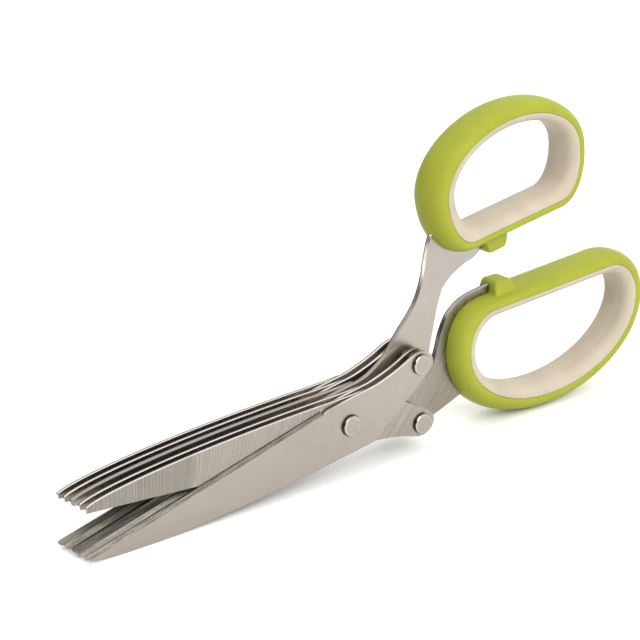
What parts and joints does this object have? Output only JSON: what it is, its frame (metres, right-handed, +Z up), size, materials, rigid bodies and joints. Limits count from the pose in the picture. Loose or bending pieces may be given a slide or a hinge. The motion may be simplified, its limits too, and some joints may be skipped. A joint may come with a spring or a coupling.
{
  "type": "herb scissors",
  "caption": "Herb scissors with a fan of parallel steel blades on one pivot rivet and two green finger rings with soft cream liners; the halves swing open and shut.",
  "frame": {"origin": "bottom centre of the bounding box, with the scissors upright on the lower blades' backs and the lower finger ring, as in the picture", "axes": "+X from the blade tips to the finger rings, +Y through the stack of blades from its front face to its back, +Z up; the pivot's axis runs along Y"},
  "size_m": [0.198, 0.0162, 0.0919],
  "materials": {
    "blade_steel": "satin ground stainless steel",
    "rivet_steel": "turned and polished stainless steel",
    "grip_green": "satin moulded polypropylene",
    "liner_cream": "soft matte thermoplastic rubber"
  },
  "bodies": {
    "lower_handle_half": {"upper_blade_1": "blade_steel", "upper_blade_2": "blade_steel", "upper_blade_3": "blade_steel", "upper_blade_4": "blade_steel", "upper_blade_5": "blade_steel", "pivot_rivet": "rivet_steel", "pivot_washer_1": "rivet_steel", "pivot_washer_2": "rivet_steel", "pivot_washer_3": "rivet_steel", "pivot_washer_4": "rivet_steel", "lower_tang_rivet": "rivet_steel", "lower_tang_spacer_1": "rivet_steel", "lower_tang_spacer_2": "rivet_steel", "lower_tang_spacer_3": "rivet_steel", "lower_tang_spacer_4": "rivet_steel", "lower_handle_grip": "grip_green", "lower_handle_liner": "liner_cream"},
    "upper_handle_half": {"lower_blade_1": "blade_steel", "lower_blade_2": "blade_steel", "lower_blade_3": "blade_steel", "lower_blade_4": "blade_steel", "lower_blade_5": "blade_steel", "upper_tang_rivet": "rivet_steel", "upper_tang_spacer_1": "rivet_steel", "upper_tang_spacer_2": "rivet_steel", "upper_tang_spacer_3": "rivet_steel", "upper_tang_spacer_4": "rivet_steel", "upper_handle_grip": "grip_green", "upper_handle_liner": "liner_cream"}
  },
  "joints": [
    {"name": "pivot", "type": "hinge", "parent": "lower_handle_half", "child": "upper_handle_half", "pos_m": [-0.01313, 0, 0.01515], "axis": [0, -1, 0], "range_deg": [-9.3, 100]}
  ]
}
